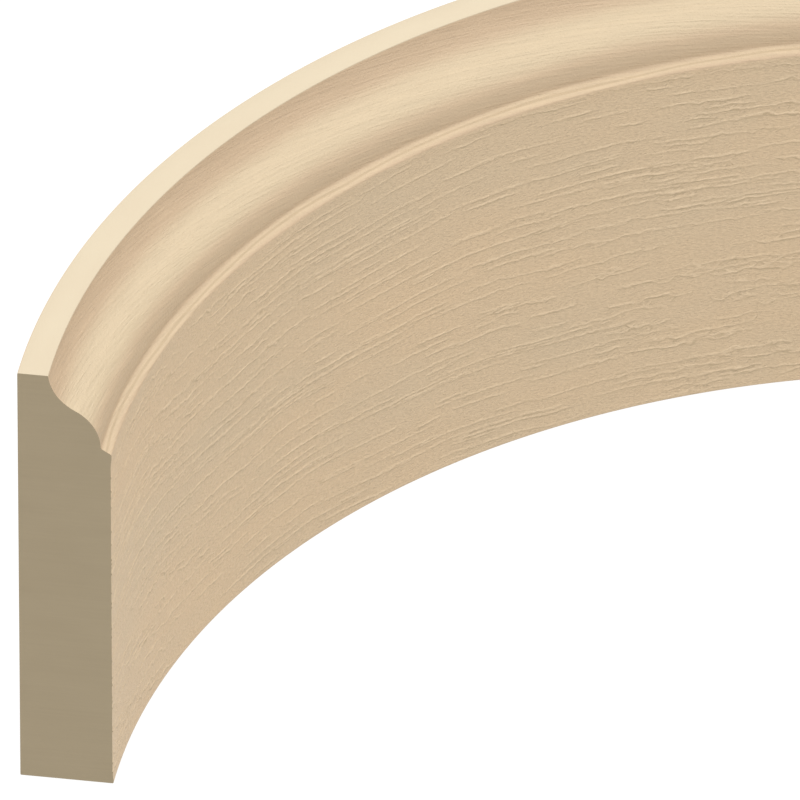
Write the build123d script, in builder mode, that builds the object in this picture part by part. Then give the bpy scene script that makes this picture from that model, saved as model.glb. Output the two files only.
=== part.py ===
"""Curved baseboard: one moulded piece, bent to a concave arc, standing on its bottom edge.

Millimetres, +Z up. The room side, which is the hollow of the curve, looks towards -Y and the
wall side towards +Y. The piece is symmetric about the plane X = 0, and the origin is at the
middle of the rectangle that it stands in, on the floor.
"""
import os
from math import cos, degrees, radians, sin, tan

from build123d import *

# Stock
board_height = 82.55      # 3-1/4 in
board_thickness = 15.875  # 5/8 in, at the plain face
wall_radius = 157.5       # plan radius of the flat back
stock_length = 304.8      # 12 in, measured along the back

# Moulded top: a cove under the top edge, then an ogee curve, then a small sloped step
lip_tilt = 6.5            # degrees between plumb and the start of the cove
cove_radius = 8.6         # hollow curve
reverse_slope = 28.0      # degrees below level, where the hollow curve turns into the round one
nose_radius = 8.2         # round curve, which ends plumb
step_depth = 1.8          # from the foot of the round curve out to the plain face
step_slope = 32.0         # degrees below level
quirk_radius = 0.4        # inside corner at the foot of the round curve
arris_radius = 0.5        # outside corner where the step meets the plain face

# Places in the section: run is measured out from the back, drop down from the top edge
nose_run = board_thickness - step_depth
reverse_run = nose_run - nose_radius * (1 - sin(radians(reverse_slope)))
lip_run = reverse_run - cove_radius * (cos(radians(lip_tilt)) - sin(radians(reverse_slope)))
reverse_drop = cove_radius * (cos(radians(reverse_slope)) - sin(radians(lip_tilt)))
nose_drop = reverse_drop + nose_radius * cos(radians(reverse_slope))
arris_drop = nose_drop + step_depth * tan(radians(step_slope))

# Places in plan
arc_angle = degrees(stock_length / wall_radius)
end_direction = radians(90 - arc_angle / 2)
face_radius = wall_radius - board_thickness
bend_centre_y = -(wall_radius + face_radius * sin(end_direction)) / 2


def section_point(run: float, drop: float) -> tuple[float, float]:
    """Turn a run from the back and a drop from the top into a point of the section's plane."""
    return (wall_radius - run, board_height - drop)


# The section is drawn on the right-hand end, upright, with its own X pointing away from the bend's axis
bend_axis = Axis((0, bend_centre_y, 0), (0, 0, 1))
end_plane = Plane(
    origin=(0, bend_centre_y, 0),
    x_dir=(cos(end_direction), sin(end_direction), 0),
    z_dir=(sin(end_direction), -cos(end_direction), 0),
)

with BuildPart() as baseboard:
    with BuildSketch(end_plane) as section:
        with BuildLine():
            back_and_top = Polyline(
                section_point(board_thickness, board_height),
                section_point(0, board_height),
                section_point(0, 0),
                section_point(lip_run, 0),
            )
            cove = JernArc(
                start=back_and_top @ 1,
                tangent=(-sin(radians(lip_tilt)), -cos(radians(lip_tilt))),
                radius=cove_radius,
                arc_size=-(90 - lip_tilt - reverse_slope),
            )
            nose = JernArc(
                start=cove @ 1,
                tangent=cove % 1,
                radius=nose_radius,
                arc_size=90 - reverse_slope,
            )
            step_and_face = Polyline(
                nose @ 1,
                section_point(board_thickness, arris_drop),
                section_point(board_thickness, board_height),
            )
        make_face()
        quirk = section.vertices().sort_by_distance(nose @ 1)[0]
        fillet(quirk, radius=quirk_radius)
        arris = section.vertices().sort_by_distance(section_point(board_thickness, arris_drop))[0]
        fillet(arris, radius=arris_radius)
    revolve(axis=bend_axis, revolution_arc=arc_angle)

baseboard.part.label = "baseboard"

os.makedirs("parts", exist_ok=True)
export_step(baseboard.part, "parts/baseboard.step")
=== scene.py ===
"""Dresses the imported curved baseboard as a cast, wood-grained length of bendable moulding.

The moulding is made in the order of its real making: its section is drawn, swept straight, embossed
with the grain marks of its mould, and only then bent to the radius of the wall. One Geometry Nodes
tree does this, and its result stands for the plain CAD solid. Sizes in the classes are millimetres.
"""

import logging
from dataclasses import dataclass
from enum import Enum
from functools import partial
from math import ceil, cos, degrees, pi, radians, sin, tan

import bpy
from bpy.types import Material, Node, NodeOutputs, NodeSocket, NodeTree, Object
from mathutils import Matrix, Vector


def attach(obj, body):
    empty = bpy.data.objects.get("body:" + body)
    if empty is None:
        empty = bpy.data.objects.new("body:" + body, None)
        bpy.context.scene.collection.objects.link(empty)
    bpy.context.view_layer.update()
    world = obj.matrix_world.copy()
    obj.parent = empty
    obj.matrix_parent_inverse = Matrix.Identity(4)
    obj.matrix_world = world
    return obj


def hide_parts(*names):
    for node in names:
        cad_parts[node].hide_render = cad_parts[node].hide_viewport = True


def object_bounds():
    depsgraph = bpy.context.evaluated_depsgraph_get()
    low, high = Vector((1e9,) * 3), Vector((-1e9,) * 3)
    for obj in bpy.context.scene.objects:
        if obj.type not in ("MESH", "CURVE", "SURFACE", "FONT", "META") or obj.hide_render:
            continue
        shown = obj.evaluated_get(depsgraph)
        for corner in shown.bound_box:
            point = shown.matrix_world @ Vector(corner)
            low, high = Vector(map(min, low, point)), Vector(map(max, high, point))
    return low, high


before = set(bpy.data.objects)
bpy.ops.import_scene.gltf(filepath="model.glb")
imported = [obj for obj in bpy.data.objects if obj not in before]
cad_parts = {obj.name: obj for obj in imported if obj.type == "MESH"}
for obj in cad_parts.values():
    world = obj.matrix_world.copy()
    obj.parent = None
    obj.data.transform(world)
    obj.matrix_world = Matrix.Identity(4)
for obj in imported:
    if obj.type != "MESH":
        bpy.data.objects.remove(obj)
CAD_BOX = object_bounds()
LOG = logging.getLogger("baseboard")
MM = 0.001

# The kinds of node that the trees use most
MATH = "ShaderNodeMath"
VECTOR = "ShaderNodeVectorMath"
JOIN = "ShaderNodeCombineXYZ"
SPLIT = "ShaderNodeSeparateXYZ"
REMAP = "ShaderNodeMapRange"
STORE = "GeometryNodeStoreNamedAttribute"
READ = "GeometryNodeInputNamedAttribute"
COMPARE = "FunctionNodeCompare"
SWITCH = "GeometryNodeSwitch"

# Noise hardly leaves this range, and each finer layer of it is weaker by this factor
NOISE_RANGE = (0.3, 0.7)
LAYER_SHARE = 0.55

Source = NodeSocket | Node | Material | float | int | str | tuple


class Zone(Enum):
    """The stretches of the skin that are finished in their own way, in order round the section."""

    BACK = 0
    TOP = 1
    MOULD = 2
    FACE = 3
    FOOT = 4
    CUT_END = 5

    @property
    def label(self) -> str:
        """The zone's name among the inputs of the moulding's tree."""
        return self.name.replace("_", " ").title()


def linear(hex_colour: str) -> tuple[float, float, float, float]:
    """Turn an sRGB colour into the linear one that a shader takes.

    Args:
        hex_colour: six hex digits after a hash, such as "#cbb394".

    Returns:
        Red, green, blue and an alpha of one.
    """
    parts = [int(hex_colour[i:i + 2], 16) / 255 for i in (1, 3, 5)]
    curve = [c / 12.92 if c <= 0.04045 else ((c + 0.055) / 1.055) ** 2.4 for c in parts]
    return (curve[0], curve[1], curve[2], 1.0)


def add_node(
    tree: NodeTree, kind: str, links: dict[str | int, Source] | None = None, **settings: object
) -> Node:
    """Add one node, set it up and wire its inputs.

    Args:
        tree: the tree that gets the node.
        kind: the node's type, such as "ShaderNodeMath".
        links: for each input, by name or number, a socket, a node (its first output) or a constant.
        settings: the node's own properties.

    Returns:
        The new node.
    """
    node = tree.nodes.new(kind)
    for name, value in settings.items():
        setattr(node, name, value)
    for key, value in (links or {}).items():
        if isinstance(value, Node):
            value = value.outputs[0]
        if isinstance(value, NodeSocket):
            tree.links.new(value, node.inputs[key])
        else:
            node.inputs[key].default_value = value
    return node


def noise_over(tree: NodeTree, place: Source, stretch: tuple[float, ...], layers: float = 1.0) -> Node:
    """Make noise that is longer one way than the other, in a tree of either kind.

    Args:
        tree: the tree.
        place: the field of places, in metres.
        stretch: the noise's period along each axis, in millimetres.
        layers: how many finer layers the noise has.

    Returns:
        The noise, from zero to one.
    """
    scale = [1 / period / MM for period in stretch] + [0.0] * (3 - len(stretch))
    place = add_node(tree, VECTOR, {0: place, 1: tuple(scale)}, operation="MULTIPLY")
    settings = {"Vector": place, "Scale": 1.0, "Detail": layers, "Roughness": LAYER_SHARE}
    return add_node(tree, "ShaderNodeTexNoise", settings)


def swaying(tree: NodeTree, place: Source, stretch: tuple[float, ...], reach: float) -> Node:
    """Make a field of shifts in metres, either way up to the reach; reach and stretch are in mm."""
    noise = noise_over(tree, place, stretch)
    return add_node(tree, MATH, {0: noise, 1: 2 * reach * MM, 2: -reach * MM}, operation="MULTIPLY_ADD")


def slanted(tree: NodeTree, place: Node, slant: float) -> Node:
    """Turn places on the unrolled skin so that level lines come out slanting.

    Args:
        tree: the tree, of either kind.
        place: the field of places, with the stock's length as first axis and its girth as second.
        slant: how far the lines climb the section over each unit of length.

    Returns:
        The field of the new places.
    """
    along, girth, _ = add_node(tree, SPLIT, {0: place}).outputs
    level = add_node(tree, MATH, {0: along, 1: slant, 2: girth}, operation="MULTIPLY_ADD")
    return add_node(tree, JOIN, {0: along, 1: level})


class Pen:
    """Draws an outline of straight runs and arcs, each starting where the last one ended."""

    def __init__(self, start: tuple[float, float], heading: float) -> None:
        """Put the pen down.

        Args:
            start: first point of the outline.
            heading: direction of the first run, in degrees counter-clockwise from the first axis.
        """
        self.points = [start]
        self.heading = heading
        self.girth = 0.0

    def line(self, length: float, spacing: float | None = None) -> None:
        """Draw straight on.

        Args:
            length: length of the run.
            spacing: most distance between points, or None for the end point alone.
        """
        count = ceil(length / spacing) if spacing else 1
        x, y = self.points[-1]
        turn = radians(self.heading)
        for i in range(1, count + 1):
            gone = length * i / count
            self.points.append((x + gone * cos(turn), y + gone * sin(turn)))
        self.girth += length

    def arc(self, radius: float, turn: float, spacing: float) -> None:
        """Draw an arc that starts in the present direction.

        Args:
            radius: radius of the arc.
            turn: change of direction in degrees, above zero to the left.
            spacing: most distance between points.
        """
        length = radius * radians(abs(turn))
        count = max(2, ceil(length / spacing))
        side = 90 if turn > 0 else -90
        x, y = self.points[-1]
        centre_x = x + radius * cos(radians(self.heading + side))
        centre_y = y + radius * sin(radians(self.heading + side))
        for i in range(1, count + 1):
            angle = radians(self.heading - side + turn * i / count)
            self.points.append((centre_x + radius * cos(angle), centre_y + radius * sin(angle)))
        self.heading += turn
        self.girth += length


@dataclass(frozen=True)
class Outline:
    """A drawn section: its points, its whole girth and the girth at which each zone starts.

    The crest is where the cove runs out into the nose, the hollow is the corner over the step, and
    the step is the middle of the sloping ledge.
    """

    points: list[tuple[float, float]]
    girth: float
    starts: dict[Zone, float]
    crest: float
    hollow: float
    step: float


@dataclass(frozen=True)
class Section:
    """The moulding's section: first axis out from the wall, second axis up from the floor."""

    height: float = 82.55
    thickness: float = 15.875
    lip_tilt: float = 6.5
    cove_radius: float = 8.6
    reverse_slope: float = 28.0
    nose_radius: float = 8.2
    step_depth: float = 1.8
    step_slope: float = 32.0
    quirk_radius: float = 0.4
    arris_radius: float = 0.5
    edge_ease: float = 0.16
    mould_spacing: float = 0.36
    face_spacing: float = 0.165

    @property
    def lip_run(self) -> float:
        """Width of the flat top edge.

        Returns:
            The width, with its corner not yet eased.
        """
        hollow = self.cove_radius * (cos(radians(self.lip_tilt)) - sin(radians(self.reverse_slope)))
        rounded = self.nose_radius * (1 - sin(radians(self.reverse_slope)))
        return self.thickness - self.step_depth - hollow - rounded

    def draw(self) -> Outline:
        """Draw the section from the foot of the back, up, over the top, down the face and back.

        Returns:
            The outline, with the sharp corners of the casting a little eased.
        """
        ease = self.edge_ease
        lip_turn = 90 - self.lip_tilt
        lip_cut = ease * tan(radians(lip_turn / 2))
        step_turn = 90 - self.step_slope
        quirk_cut = self.quirk_radius * tan(radians(step_turn / 2))
        arris_cut = self.arris_radius * tan(radians(step_turn / 2))
        cove_skip = degrees(lip_cut / self.cove_radius)
        nose_skip = degrees(quirk_cut / self.nose_radius)

        pen = Pen(start=(0.0, ease), heading=90)
        pen.line(self.height - 2 * ease)
        pen.arc(ease, -90, ease)
        top_start = pen.girth
        pen.line(self.lip_run - ease - lip_cut)
        pen.arc(ease, cove_skip - lip_turn, ease)
        mould_start = pen.girth
        pen.arc(self.cove_radius, lip_turn - self.reverse_slope - cove_skip, self.mould_spacing)
        crest = pen.girth
        pen.arc(self.nose_radius, self.reverse_slope - 90 + nose_skip, self.mould_spacing)
        hollow = pen.girth
        pen.arc(self.quirk_radius, step_turn - nose_skip, self.quirk_radius / 2)
        ledge = self.step_depth / cos(radians(self.step_slope)) - quirk_cut - arris_cut
        step = pen.girth + ledge / 2
        pen.line(ledge, self.mould_spacing)
        pen.arc(self.arris_radius, -step_turn, self.arris_radius / 3)
        face_start = pen.girth
        pen.line(pen.points[-1][1] - ease, self.face_spacing)
        foot_start = pen.girth
        pen.arc(ease, -90, ease)
        pen.line(self.thickness - 2 * ease)
        pen.arc(ease, -90, ease)
        starts = {Zone.TOP: top_start, Zone.MOULD: mould_start, Zone.FACE: face_start, Zone.FOOT: foot_start}
        return Outline(pen.points[:-1], pen.girth, starts, crest, hollow, step)


@dataclass(frozen=True)
class GrainMarks:
    """The raised, broken lines that the mould's wood grain leaves on the plain face.

    They are laid out flat, with the length of the stock as first axis and its girth as second. Each
    has a cell of its own, one row high, and is thrown somewhere into the cell's middle part.
    """

    row_pitch: float = 1.7
    mark_pitch: float = 13.0
    throw_along: tuple[float, float] = (0.05, 0.95)
    throw_down: tuple[float, float] = (0.15, 0.85)
    shortest: float = 6.0
    longest: float = 36.0
    length_bias: float = 1.4
    bare_share: float = 0.525
    luck: float = 0.7
    trail_gain: float = 0.22
    patch: tuple[float, float] = (40.0, 10.0)
    weakest: float = 0.5
    strongest: float = 0.85
    upper_width: float = 0.22
    lower_width: float = 0.2
    fade_start: float = 0.8
    fade_end: float = 1.1
    slant: float = 0.03
    wander: float = 8.5
    wander_size: tuple[float, float] = (75.0, 187.5)
    sway: float = 0.6
    sway_size: tuple[float, float] = (9.0, 22.5)
    ruffle: float = 3.2
    ruffle_size: tuple[float, float] = (3.0, 3.2)
    calm_size: tuple[float, float] = (80.0, 50.0)
    calm_range: tuple[float, float] = (0.42, 0.62)
    points_a_mark: int = 24
    bluntness: float = 0.3
    seed: int = 7

    def lay_out(self, tree: NodeTree, start: NodeSocket, length: float, girth: float) -> tuple[Node, Node]:
        """Scatter the marks in rows, with bare stretches between them, and bend them a little.

        Args:
            tree: the Geometry Nodes tree.
            start: girth at which the plain face starts, in metres.
            length: length of the face that is covered, in millimetres.
            girth: girth of the face that is covered, in millimetres.

        Returns:
            The node that gives the marks as wires, and the field of strength along them.
        """
        add = partial(add_node, tree)
        a_row = ceil(length / self.mark_pitch)
        rows = ceil(girth / self.row_pitch)
        index = add("GeometryNodeInputIndex")
        row = add(MATH, {0: index, 1: a_row}, operation="DIVIDE")
        row = add(MATH, {0: row}, operation="FLOOR")
        cell = add(MATH, {0: index, 1: a_row}, operation="MODULO")
        ranges = (self.throw_along, self.throw_down, (0.0, 1.0), (self.weakest, self.strongest), (0.0, 1.0))
        along, down, size, strength, chance = [
            add(
                "FunctionNodeRandomValue", {2: low, 3: high, "ID": index, "Seed": self.seed + i},
                data_type="FLOAT",
            ).outputs[1]
            for i, (low, high) in enumerate(ranges)
        ]
        along = add(MATH, {0: cell, 1: along}, operation="ADD")
        along = add(MATH, {0: along, 1: self.mark_pitch * MM}, operation="MULTIPLY")
        down = add(MATH, {0: row, 1: down}, operation="ADD")
        down = add(MATH, {0: down, 1: self.row_pitch * MM, 2: start}, operation="MULTIPLY_ADD")
        spot = add(JOIN, {0: along, 1: down})
        points = add("GeometryNodePoints", {"Count": a_row * rows, "Position": spot})
        points = add(
            STORE, {"Geometry": points, "Name": "strength", "Value": strength},
            data_type="FLOAT", domain="POINT",
        )

        # Marks gather in patches, and more of them stay in every other row, where they make trails
        crowd = noise_over(tree, add("GeometryNodeInputPosition"), self.patch)
        is_trail = add(MATH, {0: row, 1: 2.0}, operation="MODULO")
        crowd = add(MATH, {0: is_trail, 1: self.trail_gain, 2: crowd}, operation="MULTIPLY_ADD")
        crowd = add(MATH, {0: chance, 1: self.luck, 2: crowd}, operation="MULTIPLY_ADD")
        least = self.luck / 2 + self.bare_share
        kept = add(COMPARE, {0: crowd, 1: least}, data_type="FLOAT", operation="GREATER_THAN")
        size = add(MATH, {0: size, 1: self.length_bias}, operation="POWER")
        spread = (self.longest - self.shortest) * MM
        size = add(MATH, {0: size, 1: spread, 2: self.shortest * MM}, operation="MULTIPLY_ADD")
        ends = {"Start": (-0.5, 0, 0), "End": (0.5, 0, 0)}
        unit = add("GeometryNodeCurvePrimitiveLine", ends, mode="POINTS")
        unit = add("GeometryNodeResampleCurve", {"Curve": unit, "Count": self.points_a_mark})
        taper = add(MATH, {0: add("GeometryNodeSplineParameter"), 1: pi}, operation="MULTIPLY")
        taper = add(MATH, {0: taper}, operation="SINE")
        taper = add(MATH, {0: taper, 1: self.bluntness}, operation="POWER")
        unit = add(
            STORE, {"Geometry": unit, "Name": "taper", "Value": taper}, data_type="FLOAT", domain="POINT"
        )
        marks = add(
            "GeometryNodeInstanceOnPoints",
            {
                "Points": points, "Selection": kept, "Instance": unit, "Rotation": (0.0, 0.0, -self.slant),
                "Scale": add(JOIN, {0: size, 1: 1.0, 2: 1.0}),
            },
        )
        marks = add("GeometryNodeRealizeInstances", {"Geometry": marks})
        marks = add("GeometryNodeCurveToMesh", {"Curve": marks})
        for reach, stretch in ((self.wander, self.wander_size), (self.sway, self.sway_size)):
            turn = swaying(tree, add("GeometryNodeInputPosition"), stretch, reach)
            marks = add("GeometryNodeSetPosition", {"Geometry": marks, "Offset": add(JOIN, {1: turn})})
        strength, taper = [add(READ, {"Name": name}, data_type="FLOAT") for name in ("strength", "taper")]
        return marks, add(MATH, {0: strength, 1: taper}, operation="MULTIPLY")

    def measure(self, tree: NodeTree, marks: Node, force: Node, spot: Node) -> tuple[Node, Node]:
        """Measure how far each place of the face lies from the line of the nearest mark.

        Args:
            tree: the Geometry Nodes tree.
            marks: the node that gives the marks as wires.
            force: the field of strength on the wires' points.
            spot: the field of each place in the marks' plane.

        Returns:
            The distance, above zero on the side of the foot, and the mark's strength there.
        """
        add = partial(add_node, tree)

        # The lines are ruffled in some stretches and run calmly in the others
        wave = noise_over(tree, spot, self.ruffle_size)
        wave = add(MATH, {0: wave, 1: 0.5}, operation="SUBTRACT")
        low, high = self.calm_range
        calm = noise_over(tree, spot, self.calm_size)
        reach = add(REMAP, {0: calm, 1: low, 2: high, 3: 0.0, 4: self.ruffle * MM})
        wave = add(MATH, {0: wave, 1: reach}, operation="MULTIPLY")
        spot = add(VECTOR, {0: spot, 1: add(JOIN, {1: wave})}, operation="ADD")

        search = {"Geometry": marks, "Sample Position": spot}
        nearest = add("GeometryNodeProximity", search, target_element="EDGES")
        distance = nearest.outputs["Distance"]
        away = add(VECTOR, {0: spot, 1: nearest}, operation="SUBTRACT")
        side = add(MATH, {0: add(SPLIT, {0: away}).outputs[1]}, operation="SIGN")
        offset = add(MATH, {0: distance, 1: side}, operation="MULTIPLY")
        point = add("GeometryNodeSampleNearest", search, domain="POINT")
        power = add(
            "GeometryNodeSampleIndex", {"Geometry": marks, "Value": force, "Index": point},
            data_type="FLOAT", domain="POINT",
        )
        fade = add(
            REMAP, {0: distance, 1: self.fade_start * MM, 2: self.fade_end * MM, 3: 1.0, 4: 0.0},
            interpolation_type="SMOOTHSTEP",
        )
        return offset, add(MATH, {0: power, 1: fade}, operation="MULTIPLY")

    def ridge(self, tree: NodeTree, offset: Node, power: Node) -> Node:
        """Shape a mark's ridge, in a tree of either kind.

        Args:
            tree: the tree.
            offset: distance from the mark's line, in metres, above zero on the side of the foot.
            power: the mark's strength.

        Returns:
            The height, where one is a full ridge's crest.
        """
        add = partial(add_node, tree)
        is_below = add(MATH, {0: offset, 1: 0.0}, operation="GREATER_THAN")
        change = (self.lower_width - self.upper_width) * MM
        width = add(MATH, {0: is_below, 1: change, 2: self.upper_width * MM}, operation="MULTIPLY_ADD")
        share = add(MATH, {0: offset, 1: width}, operation="DIVIDE")
        share = add(MATH, {0: share, 1: share}, operation="MULTIPLY")
        share = add(MATH, {0: share, 1: -1.0}, operation="MULTIPLY")
        crest = add(MATH, {0: share}, operation="EXPONENT")
        return add(MATH, {0: crest, 1: power}, operation="MULTIPLY")


@dataclass(frozen=True)
class ResinFinish:
    """Tan cast polyurethane: coloured through and through, dull, with hardly any sheen."""

    name: str
    light: str
    dark: str
    roughness: float
    ior: float = 1.5
    patch: tuple[float, float, float] = (16.0, 7.0, 7.0)
    speck: tuple[float, float, float] = (0.8, 0.8, 0.8)
    speck_layers: float = 1.5
    speck_depth: float = 0.03
    speck_tint: float = 0.0
    streak: tuple[float, float, float] = (9.0, 0.9, 0.9)
    streak_depth: float = 0.0
    streak_tint: float = 0.0
    layers: float = 3.0
    unrolled: bool = True

    def make(self) -> Material:
        """Make the material.

        Returns:
            The material, with its soft patches, its streaks and its sandy specks.
        """
        material = bpy.data.materials.new(self.name)
        material.use_nodes = True
        tree = material.node_tree
        tree.nodes.clear()
        add = partial(add_node, tree)
        along, girth = [
            add("ShaderNodeAttribute", attribute_name=name).outputs["Fac"] for name in ("along", "girth")
        ]
        skin = add(JOIN, {0: along, 1: girth})
        place = skin if self.unrolled else add("ShaderNodeTexCoord").outputs["Object"]
        patch, streak = [noise_over(tree, place, size, self.layers) for size in (self.patch, self.streak)]
        specks = noise_over(tree, place, self.speck, self.speck_layers)
        low, high = NOISE_RANGE
        share = add(REMAP, {0: patch, 1: low, 2: high, 3: 0.0, 4: 1.0})
        colour = self.tint(tree, linear(self.light), share, self.dark)
        colour = self.shade(tree, colour, streak, self.streak_tint)
        colour = self.shade(tree, colour, specks, self.speck_tint)
        height = add(MATH, {0: specks, 1: self.speck_depth}, operation="MULTIPLY")
        height = add(MATH, {0: streak, 1: self.streak_depth, 2: height}, operation="MULTIPLY_ADD")
        height, colour = self.cast(tree, skin, height, colour)
        bump = add("ShaderNodeBump", {"Height": height, "Distance": MM, "Strength": 1.0})
        shader = add(
            "ShaderNodeBsdfPrincipled",
            {"Base Color": colour, "Roughness": self.roughness, "IOR": self.ior, "Normal": bump},
        )
        add("ShaderNodeOutputMaterial", {"Surface": shader})
        return material

    def cast(self, tree: NodeTree, skin: Node, height: Node, colour: Source) -> tuple[Node, Source]:
        """Add what the mould leaves in the relief and the colour: nothing on a plain finish."""
        return height, colour

    def tint(self, tree: NodeTree, colour: Source, share: Source, hex_colour: str) -> NodeSocket:
        """Blend a new colour over the present one, as far as the share says."""
        blend = {0: share, 6: colour, 7: linear(hex_colour)}
        return add_node(tree, "ShaderNodeMix", blend, data_type="RGBA").outputs[2]

    def shade(self, tree: NodeTree, colour: Source, noise: Node, tint: float) -> Node:
        """Make the colour darker and lighter by turns.

        Args:
            tree: the material's tree.
            colour: the colour so far.
            noise: the noise that says where it is darker.
            tint: how much darker or lighter it gets, as a share.

        Returns:
            The shaded colour.
        """
        low, high = NOISE_RANGE
        factor = add_node(tree, REMAP, {0: noise, 1: low, 2: high, 3: 1 - tint, 4: 1 + tint})
        return add_node(tree, VECTOR, {0: colour, "Scale": factor}, operation="SCALE")


@dataclass(frozen=True)
class Band:
    """A band of another shade along each grain mark, placed by its distance below the mark's line.

    Each edge is the place where nothing of the shade shows and the place where all of it does.
    """

    colour: str
    share: float
    first_edge: tuple[float, float]
    second_edge: tuple[float, float]


@dataclass(frozen=True)
class GrainedFinish(ResinFinish):
    """The same resin where the mould's grain marks sharpen and break up the ridges of the mesh.

    Each mark's upper slope carries a painted highlight, and a painted shadow runs just below its
    line; some patches below the marks take a darker, greyer olive tint.
    """

    marks: GrainMarks = GrainMarks()
    sharpening: float = 0.06
    wobble: float = 0.32
    wobble_size: tuple[float, float] = (1.6, 1.6)
    bead_size: tuple[float, float] = (2.2, 2.0)
    bead_range: tuple[float, float] = (0.3, 0.6)
    beads: tuple[float, float] = (0.4, 1.25)
    # Painted highlight: a pale band on each mark's upper slope, where it faces the overhead light
    crest: Band = Band("#d6c0a0", 0.52, (-0.38, -0.2), (0.06, -0.08))
    # Painted shadow: a dark band just below each mark's line, in the shade of its ridge
    lee: Band = Band("#a49071", 0.76, (0.04, 0.14), (0.4, 0.24))
    # A darker, greyer olive tint in patches just below some marks
    pit: Band = Band("#b3a383", 0.25, (0.2, 0.4), (1.0, 0.6))
    pit_size: tuple[float, float] = (3.5, 2.0)
    pit_range: tuple[float, float] = (0.45, 0.65)

    def cast(self, tree: NodeTree, skin: Node, height: Node, colour: Source) -> tuple[Node, Source]:
        """Add the sharp part of the grain marks, beaded and a little wavy, and bands of painted light and
        shade.

        Args:
            tree: the material's tree.
            skin: the field of places on the unrolled skin.
            height: the relief so far, in millimetres.
            colour: the colour so far.

        Returns:
            The relief and the colour with the marks in them.
        """
        add = partial(add_node, tree)
        offset, power = [
            add("ShaderNodeAttribute", attribute_name=name).outputs["Fac"]
            for name in ("mark_offset", "mark_power")
        ]
        wave = swaying(tree, skin, self.wobble_size, self.wobble)
        offset = add(MATH, {0: offset, 1: wave}, operation="ADD")
        low, high = self.bead_range
        weak, strong = self.beads
        beads = noise_over(tree, skin, self.bead_size)
        beads = add(REMAP, {0: beads, 1: low, 2: high, 3: weak, 4: strong})
        power = add(MATH, {0: power, 1: beads}, operation="MULTIPLY")
        ridge = self.marks.ridge(tree, offset, power)
        height = add(MATH, {0: ridge, 1: self.sharpening, 2: height}, operation="MULTIPLY_ADD")

        low, high = self.pit_range
        pitted = noise_over(tree, skin, self.pit_size)
        pitted = add(REMAP, {0: pitted, 1: low, 2: high, 3: 0.0, 4: self.pit.share})
        # Painted highlight on each mark's upper slope, painted shadow just below its line, greyer tint in
        # patches
        bands = ((self.crest, self.crest.share), (self.lee, self.lee.share), (self.pit, pitted))
        for band, share in bands:
            for none, full in (band.first_edge, band.second_edge):
                edge = add(REMAP, {0: offset, 1: none * MM, 2: full * MM, 3: 0.0, 4: 1.0})
                share = add(MATH, {0: edge, 1: share}, operation="MULTIPLY")
            share = add(MATH, {0: share, 1: power}, operation="MULTIPLY")
            colour = self.tint(tree, colour, share, band.colour)
        return height, colour


@dataclass(frozen=True)
class Strip:
    """A strip of another shade along the profile: its middle's girth, its reach and its colour."""

    middle: float
    reach: float
    colour: str


@dataclass(frozen=True)
class ProfiledFinish(ResinFinish):
    """The same resin on the profile, with slanting drag lines and a few strips of another shade."""

    strips: tuple[Strip, ...] = ()
    core_share: float = 0.3
    drift: float = 0.6
    drift_size: tuple[float, float] = (25.0, 4.0)
    drag: tuple[float, float] = (12.0, 0.42)
    drag_layers: float = 2.0
    drag_slant: float = 0.11
    drag_depth: float = 0.16
    drag_tint: float = 0.05

    def cast(self, tree: NodeTree, skin: Node, height: Node, colour: Source) -> tuple[Node, Source]:
        """Shade the strips and add the drag lines.

        Args:
            tree: the material's tree.
            skin: the field of places on the unrolled skin.
            height: the relief so far, in millimetres.
            colour: the colour so far.

        Returns:
            The relief and the colour with the lines and the strips in them.
        """
        add = partial(add_node, tree)
        girth = add(SPLIT, {0: skin}).outputs[1]
        drift = swaying(tree, skin, self.drift_size, self.drift)
        level = add(MATH, {0: girth, 1: drift}, operation="ADD")
        for strip in self.strips:
            away = add(MATH, {0: level, 1: strip.middle * MM}, operation="SUBTRACT")
            away = add(MATH, {0: away}, operation="ABSOLUTE")
            core = self.core_share * strip.reach * MM
            share = add(
                REMAP, {0: away, 1: core, 2: strip.reach * MM, 3: 1.0, 4: 0.0},
                interpolation_type="SMOOTHSTEP",
            )
            colour = self.tint(tree, colour, share, strip.colour)
        lines = noise_over(tree, slanted(tree, skin, self.drag_slant), self.drag, self.drag_layers)
        height = add(MATH, {0: lines, 1: self.drag_depth, 2: height}, operation="MULTIPLY_ADD")
        return height, self.shade(tree, colour, lines, self.drag_tint)


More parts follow.
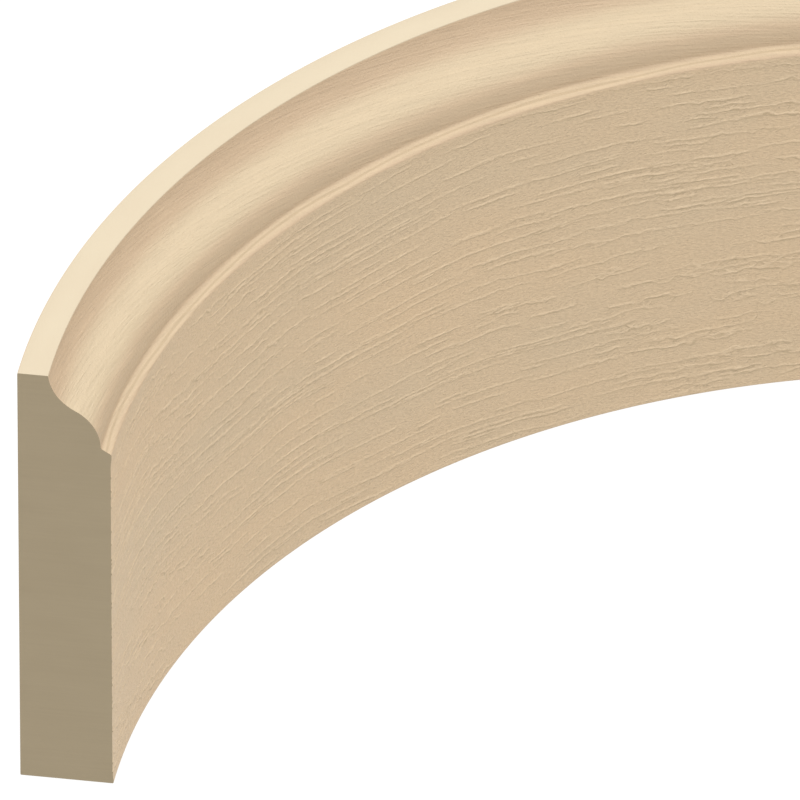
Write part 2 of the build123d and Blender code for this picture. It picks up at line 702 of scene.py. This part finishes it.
def make_finishes(outline: Outline) -> dict[Zone, Material]:
    """Make the finish of each zone.

    Args:
        outline: the drawn section.

    Returns:
        The materials by zone; the foot shares the plain skin of the back.
    """
    # Plain skin of the open side of the mould: flat, a shade duller, with a few faint drag lines
    back = ResinFinish(
        "plain_cast_resin_back", "#bca58a", "#b4a084", 0.6, patch=(30.0, 12.0, 12.0),
        streak=(40.0, 0.8, 0.8), streak_depth=0.02, streak_tint=0.02,
    )
    # Trimmed smooth, so it catches the most light and looks the palest
    # Smooth flat top, which catches the most light; its paler, whiter colour is a painted sheen
    top = ResinFinish("trimmed_resin_top_edge", "#bcae94", "#baab91", 0.5)
    # Smooth mould skin with hair-fine drag lines: painted highlights on the crest and the step,
    # painted shade in the hollow, and a darker line along the middle of the step
    strips = (
        # Painted highlight on the crest, then painted shade in the hollow
        Strip(outline.crest + 0.8, 5.5, "#beab8d"), Strip(outline.hollow - 1.5, 2.4, "#b29c7f"),
        # Painted highlight on the sloping step, then a darker line along its middle
        Strip(outline.step, 1.2, "#c1ab8c"), Strip(outline.step, 0.3, "#b59f80"),
    )
    mould = ProfiledFinish(
        "smooth_moulded_resin_profile", "#b9a184", "#b69e81", 0.5, speck=(0.6, 0.45, 0.45),
        speck_depth=0.13, speck_tint=0.02, streak_tint=0.02, strips=strips,
    )
    # Mould skin with open wood grain: raised broken lines on a sandy ground
    face = GrainedFinish(
        "grain_embossed_resin_face", "#c3aa89", "#bda88a", 0.6, patch=(60.0, 25.0, 25.0),
        speck=(0.8, 0.35, 0.35), speck_depth=0.29, speck_tint=0.07, streak=(6.0, 0.9, 0.9),
        streak_depth=0.05, streak_tint=0.015,
    )
    # Sawn through: the dull olive inside, with the blade's fine level lines
    cut_end = ResinFinish(
        "sawn_resin_end", "#92846a", "#8f8167", 0.75, patch=(14.0, 14.0, 6.0), speck_depth=0.02,
        streak=(30.0, 30.0, 0.4), streak_depth=0.012, streak_tint=0.02, unrolled=False,
    )
    plain = back.make()
    return {
        Zone.BACK: plain, Zone.TOP: top.make(), Zone.MOULD: mould.make(), Zone.FACE: face.make(),
        Zone.FOOT: plain, Zone.CUT_END: cut_end.make(),
    }


@dataclass(frozen=True)
class Bench:
    """What every step of the moulding's tree works with: the tree, its inputs and what is stored.

    Stored are the place round the section (girth), the place on the stock's length (along), the
    number of each face's zone, the spot in the section's plane, and the section's heading there.
    """

    tree: NodeTree
    given: NodeOutputs
    girth: NodeSocket
    along: NodeSocket
    zone: NodeSocket
    spot: NodeSocket
    heading: NodeSocket


@dataclass(frozen=True)
class CurvedMoulding:
    """The one piece: straight cast stock, embossed on the room side and bent to the wall."""

    section: Section = Section()
    marks: GrainMarks = GrainMarks()
    wall_radius: float = 157.5
    stock_length: float = 304.8
    columns: int = 205
    ridge_height: float = 0.16
    ripple_depth: float = 0.03
    ripple: tuple[float, float] = (16.0, 2.2)
    drag_depth: float = 0.04
    drag: tuple[float, float] = (22.0, 1.3)
    drag_slant: float = 0.11
    mark_margin: float = 0.9
    face_margin: float = 2.5
    mould_margin: float = 0.6
    end_tolerance: float = 0.1
    closing_lag: float = 60.0
    skin_share: float = 0.8
    map_margin: float = 0.02
    end_scale: float = 5.5
    sharp_angle: float = 40.0

    def tree_inputs(self, outline: Outline) -> dict[str, float | int | Material]:
        """Name the tree's sizes, in metres, and its finishes.

        Args:
            outline: the drawn section.

        Returns:
            The value of each of the tree's inputs.
        """
        end_direction = pi / 2 - self.stock_length / self.wall_radius / 2
        room_end = (self.wall_radius - self.section.thickness) * sin(end_direction)
        inputs = {
            "Stock Length": self.stock_length * MM,
            "Columns": self.columns,
            "Wall Radius": self.wall_radius * MM,
            "Bend Centre": -(self.wall_radius + room_end) / 2 * MM,
            "End Direction": end_direction,
            "Ridge Height": self.ridge_height * MM,
            "Ripple Depth": self.ripple_depth * MM,
            "Drag Depth": self.drag_depth * MM,
            "Girth": outline.girth * MM,
            "Edge Ease": self.section.edge_ease * MM,
        }
        inputs |= {f"{zone.label} Start": start * MM for zone, start in outline.starts.items()}
        inputs |= {f"{zone.label} Finish": finish for zone, finish in make_finishes(outline).items()}
        return inputs

    def build(self) -> Object:
        """Sweep, emboss, bend and dress the stock.

        Returns:
            The moulding as one plain mesh object.
        """
        outline = self.section.draw()
        curve = bpy.data.curves.new("section", "CURVE")
        curve.dimensions = "3D"
        spline = curve.splines.new("POLY")
        spline.points.add(len(outline.points) - 1)
        for point, (run, rise) in zip(spline.points, outline.points):
            point.co = (run * MM, rise * MM, 0, 1)
        spline.use_cyclic_u = True
        drawn = bpy.data.objects.new("section", curve)
        bpy.context.scene.collection.objects.link(drawn)

        inputs = self.tree_inputs(outline)
        tree = self.plant_tree(inputs, outline)
        modifier = drawn.modifiers.new("moulding", "NODES")
        modifier.node_group = tree
        for item in tree.interface.items_tree:
            if item.name in inputs:
                modifier[item.identifier] = inputs[item.name]
        depsgraph = bpy.context.evaluated_depsgraph_get()
        mesh = bpy.data.meshes.new_from_object(
            drawn.evaluated_get(depsgraph), preserve_all_data_layers=True, depsgraph=depsgraph
        )
        bpy.data.curves.remove(curve)
        mesh.shade_smooth()
        mesh.set_sharp_from_angle(angle=radians(self.sharp_angle))
        piece = bpy.data.objects.new("curved_moulding", mesh)
        bpy.context.scene.collection.objects.link(piece)
        return piece

    def plant_tree(self, inputs: dict[str, float | int | Material], outline: Outline) -> NodeTree:
        """Build the tree that sweeps, embosses and bends the stock.

        Args:
            inputs: the names and kinds of the tree's inputs.
            outline: the drawn section.

        Returns:
            The Geometry Nodes tree.
        """
        tree = bpy.data.node_groups.new("sweep_emboss_and_bend", "GeometryNodeTree")
        tree.is_modifier = True
        kinds = {float: "NodeSocketFloat", int: "NodeSocketInt", Material: "NodeSocketMaterial"}
        tree.interface.new_socket("Section", in_out="INPUT", socket_type="NodeSocketGeometry")
        for name, value in inputs.items():
            tree.interface.new_socket(name, in_out="INPUT", socket_type=kinds[type(value)])
        tree.interface.new_socket("Moulding", in_out="OUTPUT", socket_type="NodeSocketGeometry")
        add = partial(add_node, tree)
        stored = {
            "girth": "FLOAT", "along": "FLOAT", "zone": "INT", "spot": "FLOAT_VECTOR",
            "heading": "FLOAT_VECTOR",
        }
        fields = {
            name: add(READ, {"Name": name}, data_type=kind).outputs[0] for name, kind in stored.items()
        }
        bench = Bench(tree, add("NodeGroupInput").outputs, **fields)

        stock = self.sweep(bench)
        stock = self.mark_zones(bench, stock)
        stock = self.lay_skin_flat(bench, stock)
        stock = self.emboss(bench, stock, outline)
        stock = self.bend(bench, stock)
        stock = add("GeometryNodeRealizeInstances", {"Geometry": stock})
        for zone in Zone:
            here = add(COMPARE, {2: bench.zone, 3: zone.value}, data_type="INT", operation="EQUAL")
            links = {"Geometry": stock, "Selection": here, "Material": bench.given[f"{zone.label} Finish"]}
            stock = add("GeometryNodeSetMaterial", links)
        add("NodeGroupOutput", {"Moulding": stock})
        return tree

    def sweep(self, bench: Bench) -> Node:
        """Sweep the section along a straight line, and store the place of every point.

        Args:
            bench: the tree, its inputs and its fields.

        Returns:
            The node that gives the closed, straight stock.
        """
        add = partial(add_node, bench.tree)
        span = add("GeometryNodeSplineParameter").outputs["Length"]
        section = bench.given["Section"]
        kept = (
            ("girth", span, "FLOAT"),
            ("spot", add("GeometryNodeInputPosition"), "FLOAT_VECTOR"),
            ("heading", add("GeometryNodeInputTangent"), "FLOAT_VECTOR"),
        )
        for name, value, kind in kept:
            section = add(
                STORE, {"Geometry": section, "Name": name, "Value": value}, data_type=kind, domain="POINT"
            )
        end = add(JOIN, {2: bench.given["Stock Length"]})
        path = add("GeometryNodeCurvePrimitiveLine", {"End": end}, mode="POINTS")
        path = add("GeometryNodeResampleCurve", {"Curve": path, "Count": bench.given["Columns"]})
        path = add(
            STORE, {"Geometry": path, "Name": "along", "Value": span}, data_type="FLOAT", domain="POINT"
        )
        return add("GeometryNodeCurveToMesh", {"Curve": path, "Profile Curve": section, "Fill Caps": True})

    def mark_zones(self, bench: Bench, stock: Node) -> Node:
        """Store which zone each face of the stock is in.

        Args:
            bench: the tree, its inputs and its fields.
            stock: the node that gives the straight stock.

        Returns:
            The node that gives the stock with its zones.
        """
        add = partial(add_node, bench.tree)
        given = bench.given
        rising = (Zone.TOP, Zone.MOULD, Zone.FACE, Zone.FOOT)
        tests = [(zone, bench.girth, given[f"{zone.label} Start"]) for zone in rising]

        # The facet that closes the section runs from its last girth back to none, so it needs a test
        # of its own, and so do the two ends
        run = add(SPLIT, {0: bench.spot}).outputs[0]
        half_ease = add(MATH, {0: given["Edge Ease"], 1: 0.5}, operation="MULTIPLY")
        half_way = add(MATH, {0: given["Stock Length"], 1: 0.5}, operation="MULTIPLY")
        from_middle = add(MATH, {0: bench.along, 1: half_way}, operation="SUBTRACT")
        from_middle = add(MATH, {0: from_middle}, operation="ABSOLUTE")
        near_end = add(MATH, {0: half_way, 1: self.end_tolerance * MM}, operation="SUBTRACT")
        tests += [(Zone.BACK, half_ease, run), (Zone.CUT_END, from_middle, near_end)]
        found: Source = Zone.BACK.value
        for zone, more, less in tests:
            true = add(COMPARE, {0: more, 1: less}, data_type="FLOAT", operation="GREATER_THAN")
            found = add(SWITCH, {"Switch": true, "False": found, "True": zone.value}, input_type="INT")
        return add(
            STORE, {"Geometry": stock, "Name": "zone", "Value": found}, data_type="INT", domain="FACE"
        )

    def lay_skin_flat(self, bench: Bench, stock: Node) -> Node:
        """Unroll the skin into the piece's own UV map, with the two cut ends beside it.

        Args:
            bench: the tree, its inputs and its fields.
            stock: the node that gives the straight stock.

        Returns:
            The node that gives the stock with its UV map.
        """
        add = partial(add_node, bench.tree)
        whole = bench.given["Girth"]

        # Only the facet that closes the section has a corner whose girth is far below its own mean
        mean = add("GeometryNodeFieldOnDomain", {0: bench.girth}, data_type="FLOAT", domain="FACE")
        lag = add(MATH, {0: mean, 1: bench.girth}, operation="SUBTRACT")
        closes = add(MATH, {0: lag, 1: self.closing_lag * MM}, operation="GREATER_THAN")
        round_it = add(MATH, {0: closes, 1: whole, 2: bench.girth}, operation="MULTIPLY_ADD")
        round_it = add(MATH, {0: round_it, 1: whole}, operation="DIVIDE")
        round_it = add(MATH, {0: round_it, 1: self.skin_share}, operation="MULTIPLY")
        length_share = add(MATH, {0: bench.along, 1: bench.given["Stock Length"]}, operation="DIVIDE")
        skin = add(JOIN, {0: length_share, 1: round_it})

        # The ends stand in the strip over the skin, one in each half of it
        run, rise, _ = add(SPLIT, {0: bench.spot}).outputs
        is_far = add(MATH, {0: length_share, 1: 0.5}, operation="GREATER_THAN")
        place = add(MATH, {0: is_far, 1: 0.5, 2: self.map_margin}, operation="MULTIPLY_ADD")
        up = add(MATH, {0: rise, 1: self.end_scale, 2: place}, operation="MULTIPLY_ADD")
        over = self.skin_share + 2 * self.map_margin
        out = add(MATH, {0: run, 1: self.end_scale, 2: over}, operation="MULTIPLY_ADD")
        end = add(JOIN, {0: up, 1: out})
        is_end = add(COMPARE, {2: bench.zone, 3: Zone.CUT_END.value}, data_type="INT", operation="EQUAL")
        flat = add(SWITCH, {"Switch": is_end, "False": skin, "True": end}, input_type="VECTOR")
        return add(
            STORE, {"Geometry": stock, "Name": "OFBake", "Value": flat}, data_type="FLOAT2", domain="CORNER"
        )

    def window(self, bench: Bench, low: str, high: str, edge: float) -> Node:
        """Make a field that is one between two girths, zero outside them and smooth at both.

        Args:
            bench: the tree, its inputs and its fields.
            low: the input that gives the lower girth.
            high: the input that gives the higher girth.
            edge: how far inside each girth the field takes to rise, in millimetres.

        Returns:
            The field.
        """
        add = partial(add_node, bench.tree)
        shares = []
        for limit, sign in ((low, 1.0), (high, -1.0)):
            inside = add(MATH, {0: bench.girth, 1: bench.given[limit]}, operation="SUBTRACT")
            inside = add(MATH, {0: inside, 1: sign}, operation="MULTIPLY")
            rise = {0: inside, 1: 0.0, 2: edge * MM, 3: 0.0, 4: 1.0}
            shares.append(add(REMAP, rise, interpolation_type="SMOOTHSTEP"))
        return add(MATH, {0: shares[0], 1: shares[1]}, operation="MULTIPLY")

    def emboss(self, bench: Bench, stock: Node, outline: Outline) -> Node:
        """Raise the grain marks and ripples on the face, and the faint drag lines on the profile.

        Args:
            bench: the tree, its inputs and its fields.
            stock: the node that gives the straight stock.
            outline: the drawn section.

        Returns:
            The node that gives the stock, with the embossed place of every point stored.
        """
        tree, given = bench.tree, bench.given
        add = partial(add_node, tree)
        skin = add(JOIN, {0: bench.along, 1: bench.girth})
        face_girth = outline.starts[Zone.FOOT] - outline.starts[Zone.FACE]
        marks, force = self.marks.lay_out(tree, given["Face Start"], self.stock_length, face_girth)
        offset, power = self.marks.measure(tree, marks, force, skin)
        marked, on_face = [
            self.window(bench, "Face Start", "Foot Start", edge)
            for edge in (self.mark_margin, self.face_margin)
        ]
        on_mould = self.window(bench, "Mould Start", "Face Start", self.mould_margin)
        power = add(MATH, {0: power, 1: marked}, operation="MULTIPLY")
        for name, value in (("mark_offset", offset), ("mark_power", power)):
            stock = add(
                STORE, {"Geometry": stock, "Name": name, "Value": value}, data_type="FLOAT", domain="POINT"
            )
        dragged = slanted(tree, skin, self.drag_slant)

        # Every relief is sunk by its own full height, so that its crests stay inside the CAD solid
        reliefs = (
            (self.marks.ridge(tree, offset, power), given["Ridge Height"], on_face),
            (noise_over(tree, skin, self.ripple), given["Ripple Depth"], on_face),
            (noise_over(tree, dragged, self.drag), given["Drag Depth"], on_mould),
        )
        lift: Source = 0.0
        for shape, height, where in reliefs:
            shape = add(MATH, {0: shape, 1: 1.0}, operation="SUBTRACT")
            height = add(MATH, {0: height, 1: where}, operation="MULTIPLY")
            lift = add(MATH, {0: shape, 1: height, 2: lift}, operation="MULTIPLY_ADD")
        outward = add(VECTOR, {0: (0.0, 0.0, 1.0), 1: bench.heading}, operation="CROSS_PRODUCT")
        lift = add(VECTOR, {0: outward, "Scale": lift}, operation="SCALE")
        place = add(VECTOR, {0: bench.spot, 1: lift}, operation="ADD")
        return add(
            STORE, {"Geometry": stock, "Name": "spot", "Value": place},
            data_type="FLOAT_VECTOR", domain="POINT",
        )

    def bend(self, bench: Bench, stock: Node) -> Node:
        """Bend the straight stock round the axis of the wall, where the CAD solid lies.

        Args:
            bench: the tree, its inputs and its fields.
            stock: the node that gives the straight stock.

        Returns:
            The node that gives the bent moulding.
        """
        add = partial(add_node, bench.tree)
        given = bench.given
        run, rise, _ = add(SPLIT, {0: bench.spot}).outputs
        turned = add(MATH, {0: bench.along, 1: given["Wall Radius"]}, operation="DIVIDE")
        turned = add(MATH, {0: turned, 1: given["End Direction"]}, operation="ADD")
        radius = add(MATH, {0: given["Wall Radius"], 1: run}, operation="SUBTRACT")
        across, deep = [
            add(MATH, {0: radius, 1: add(MATH, {0: turned}, operation=wave)}, operation="MULTIPLY")
            for wave in ("COSINE", "SINE")
        ]
        deep = add(MATH, {0: deep, 1: given["Bend Centre"]}, operation="ADD")
        place = add(JOIN, {0: across, 1: deep, 2: rise})
        stock = add("GeometryNodeSetPosition", {"Geometry": stock, "Position": place})
        # Laying the stock's far end to the left turns its skin inside out, so it is turned back
        stock = add("GeometryNodeFlipFaces", {"Mesh": stock})
        for name in ("spot", "heading"):
            stock = add("GeometryNodeRemoveAttribute", {"Geometry": stock, "Name": name})
        return stock


@dataclass(frozen=True)
class Studio:
    """A white table, white walls all round and one wide soft light overhead."""

    floor_size: float = 4000.0
    floor_white: str = "#606060"
    floor_roughness: float = 0.9
    floor_glow: float = 0.88
    wall_glow: float = 0.83
    lamp_strength: float = 2.77
    lamp_spread: float = 120.0

    def build(self) -> Object:
        """Set up the floor and the lights.

        Returns:
            The floor.
        """
        half = self.floor_size * MM / 2
        mesh = bpy.data.meshes.new("floor")
        corners = [(-half, -half, 0), (half, -half, 0), (half, half, 0), (-half, half, 0)]
        mesh.from_pydata(corners, [], [(0, 1, 2, 3)])
        floor = bpy.data.objects.new("floor", mesh)
        bpy.context.scene.collection.objects.link(floor)
        mesh.materials.append(self.floor_material())

        world = bpy.data.worlds.new("white_walls")
        world.use_nodes = True
        world.node_tree.nodes.clear()
        add = partial(add_node, world.node_tree)
        glow = add("ShaderNodeBackground", {"Strength": self.wall_glow, "Color": (1, 1, 1, 1)})
        add("ShaderNodeOutputWorld", {"Surface": glow})
        bpy.context.scene.world = world

        lamp = bpy.data.lights.new("overhead_light", "SUN")
        lamp.energy = self.lamp_strength
        lamp.angle = radians(self.lamp_spread)
        bpy.context.scene.collection.objects.link(bpy.data.objects.new("overhead_light", lamp))
        bpy.context.scene.view_settings.view_transform = "Standard"
        return floor

    def floor_material(self) -> Material:
        """Make the matt white laminate of the table.

        Returns:
            The material.
        """
        material = bpy.data.materials.new("matt_white_laminate")
        material.use_nodes = True
        tree = material.node_tree
        tree.nodes.clear()
        shader = add_node(
            tree, "ShaderNodeBsdfPrincipled",
            {
                "Base Color": linear(self.floor_white), "Roughness": self.floor_roughness,
                "Emission Color": (1, 1, 1, 1), "Emission Strength": self.floor_glow,
            },
        )
        add_node(tree, "ShaderNodeOutputMaterial", {"Surface": shader})
        return material


@dataclass(frozen=True)
class LongLens:
    """The photograph's viewpoint: from above and the left, from so far off that lines stay parallel."""

    azimuth: float = -25.48
    elevation: float = 35.277
    distance: float = 5642.1
    aim_right: float = -40.608
    aim_up: float = -18.416
    focal_length: float = 1500.0
    farthest: float = 100000.0

    def build(self) -> Object:
        """Set up the camera and make it the scene's own.

        Returns:
            The camera.
        """
        turn, tilt = radians(self.azimuth), radians(self.elevation)
        forward = Vector((-sin(turn) * cos(tilt), cos(turn) * cos(tilt), -sin(tilt)))
        right = Vector((cos(turn), sin(turn), 0))
        lowest, highest = CAD_BOX
        aim = Vector((0, 0, (lowest[2] + highest[2]) / 2))
        aim += (self.aim_right * right + self.aim_up * right.cross(forward)) * MM
        lens = bpy.data.cameras.new("long_lens")
        lens.lens = self.focal_length
        lens.clip_end = self.farthest * MM
        camera = bpy.data.objects.new("long_lens", lens)
        camera.location = aim - forward * self.distance * MM
        camera.rotation_euler = forward.to_track_quat("-Z", "Y").to_euler()
        bpy.context.scene.collection.objects.link(camera)
        bpy.context.scene.camera = camera
        return camera


def main() -> None:
    """Build the moulding, the studio and the camera, and report each piece."""
    logging.basicConfig(level=logging.INFO, format="%(message)s")
    camera = LongLens().build()
    LOG.info("%s: %.0f mm", camera.name, camera.data.lens)
    moulding = CurvedMoulding().build()
    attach(moulding, "root")
    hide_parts("baseboard")
    LOG.info("%s: %d faces", moulding.name, len(moulding.data.polygons))
    floor = Studio().build()
    LOG.info("%s: placed", floor.name)


if __name__ == "__main__":
    main()
